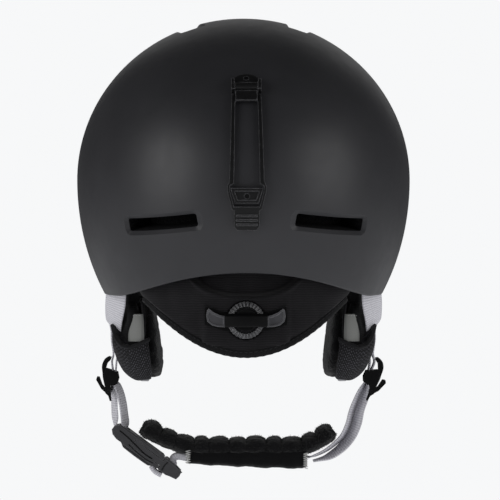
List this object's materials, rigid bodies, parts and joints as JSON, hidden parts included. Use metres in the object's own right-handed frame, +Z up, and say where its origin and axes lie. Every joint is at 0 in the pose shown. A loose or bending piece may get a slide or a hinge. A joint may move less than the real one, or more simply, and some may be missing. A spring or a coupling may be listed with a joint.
{
  "type": "ski helmet",
  "caption": "Matt black ski helmet with ear pads, dial fit band, goggle strap retainer and chin strap.",
  "frame": {"origin": "centre of the head opening, level with the shell's side edges", "axes": "+Z up to the crown, +Y the way the wearer faces, +X the wearer's right"},
  "size_m": [0.218, 0.2765, 0.3019],
  "materials": {
    "shell_plastic": "matt black moulded plastic",
    "foam": "black expanded foam",
    "fleece": "black fleece pile",
    "lining_fabric": "black brushed lining",
    "binding_tape": "black woven tape",
    "black_plastic": "black moulded plastic",
    "retainer_rubber": "matt black flexible plastic",
    "satin_plastic": "dark grey satin plastic",
    "nylon": "dark grey nylon",
    "steel": "brushed",
    "ear_mesh": "black spacer mesh and fleece",
    "grey_label": "grey woven tab",
    "webbing": "light grey ribbed webbing",
    "buckle_plastic": "dark grey textured plastic"
  },
  "bodies": {
    "helmet": {"outer_shell": "shell_plastic", "foam_liner": "foam", "crown_pad": "fleece", "brow_pad": "fleece", "rear_pad": "fleece", "side_pad_left": "fleece", "side_pad_right": "fleece", "neck_curtain": "lining_fabric", "curtain_binding": "binding_tape", "nape_pad": "fleece", "dial_housing": "black_plastic", "dial_bridge": "black_plastic", "dial_wing_left": "satin_plastic", "dial_wing_right": "satin_plastic", "ear_pad_left": "ear_mesh", "ear_pad_right": "ear_mesh", "ear_pocket_left": "ear_mesh", "ear_pocket_right": "ear_mesh", "ear_tab_left": "grey_label", "ear_tab_right": "grey_label", "ear_pull_left": "webbing", "ear_pull_right": "webbing", "rear_strap_left": "webbing", "rear_strap_right": "webbing", "front_strap_left": "webbing", "front_strap_right": "webbing", "strap_anchors": "black_plastic", "retainer_anchor": "black_plastic", "retainer_hook": "black_plastic", "retainer_rivets": "steel"},
    "fit_dial": {"fit_dial": "black_plastic", "dial_pinion": "nylon", "dial_screw": "steel"},
    "band_left": {"fit_band_left": "nylon"},
    "band_right": {"fit_band_right": "nylon"},
    "goggle_loop": {"retainer_loop": "retainer_rubber"},
    "chin_strap": {"divider_left": "black_plastic", "divider_right": "black_plastic", "divider_strap_left": "webbing", "divider_strap_right": "webbing", "cam_pin_left": "steel", "cam_pin_right": "steel", "lower_strap_left": "webbing", "buckle_base": "buckle_plastic", "base_magnet": "steel"},
    "divider_lever_left": {"cam_lever_left": "black_plastic"},
    "divider_lever_right": {"cam_lever_right": "black_plastic"},
    "chin_pad": {"lower_strap_right_inner": "webbing", "lower_strap_right_outer": "webbing", "buckle_slider": "buckle_plastic", "slider_magnet": "steel", "pad_strap": "webbing", "chin_fleece": "fleece", "chin_band": "binding_tape", "chin_stitching": "webbing"}
  },
  "joints": [
    {"name": "dial_turn", "type": "hinge", "parent": "helmet", "child": "fit_dial", "pos_m": [0, -0.1058, -0.016], "axis": [0, 1, 0], "range_deg": [-180, 180]},
    {"name": "band_left_wrap", "type": "hinge", "parent": "helmet", "child": "band_left", "pos_m": [0, -0.008, -0.016], "axis": [0, 0, 1], "range_deg": [-8.6, 8.6]},
    {"name": "band_right_wrap", "type": "hinge", "parent": "helmet", "child": "band_right", "pos_m": [0, -0.008, -0.016], "axis": [0, 0, 1], "range_deg": [-8.6, 8.6]},
    {"name": "retainer_open", "type": "hinge", "parent": "helmet", "child": "goggle_loop", "pos_m": [0, -0.11971, 0.1314], "axis": [-1, 0, 0], "range_deg": [0, 105]},
    {"name": "chin_strap_swing", "type": "hinge", "parent": "helmet", "child": "chin_strap", "pos_m": [0, 0.004, -0.0454], "axis": [1, 0, 0], "range_deg": [-30, 30]},
    {"name": "cam_left", "type": "hinge", "parent": "chin_strap", "child": "divider_lever_left", "pos_m": [-0.0886, 0.004, -0.065], "axis": [0, -1, 0], "range_deg": [0, 60]},
    {"name": "cam_right", "type": "hinge", "parent": "chin_strap", "child": "divider_lever_right", "pos_m": [0.0839, 0.004, -0.06531], "axis": [0, 1, 0], "range_deg": [0, 60]},
    {"name": "buckle_release", "type": "hinge", "parent": "chin_strap", "child": "chin_pad", "pos_m": [0.0795, 0.004, -0.09], "axis": [0, 0, 1], "range_deg": [-40, 40]}
  ],
  "couplings": [
    {"joint": "band_left_wrap", "follows": "dial_turn", "ratio": 0.04706},
    {"joint": "band_right_wrap", "follows": "dial_turn", "ratio": -0.04706}
  ]
}
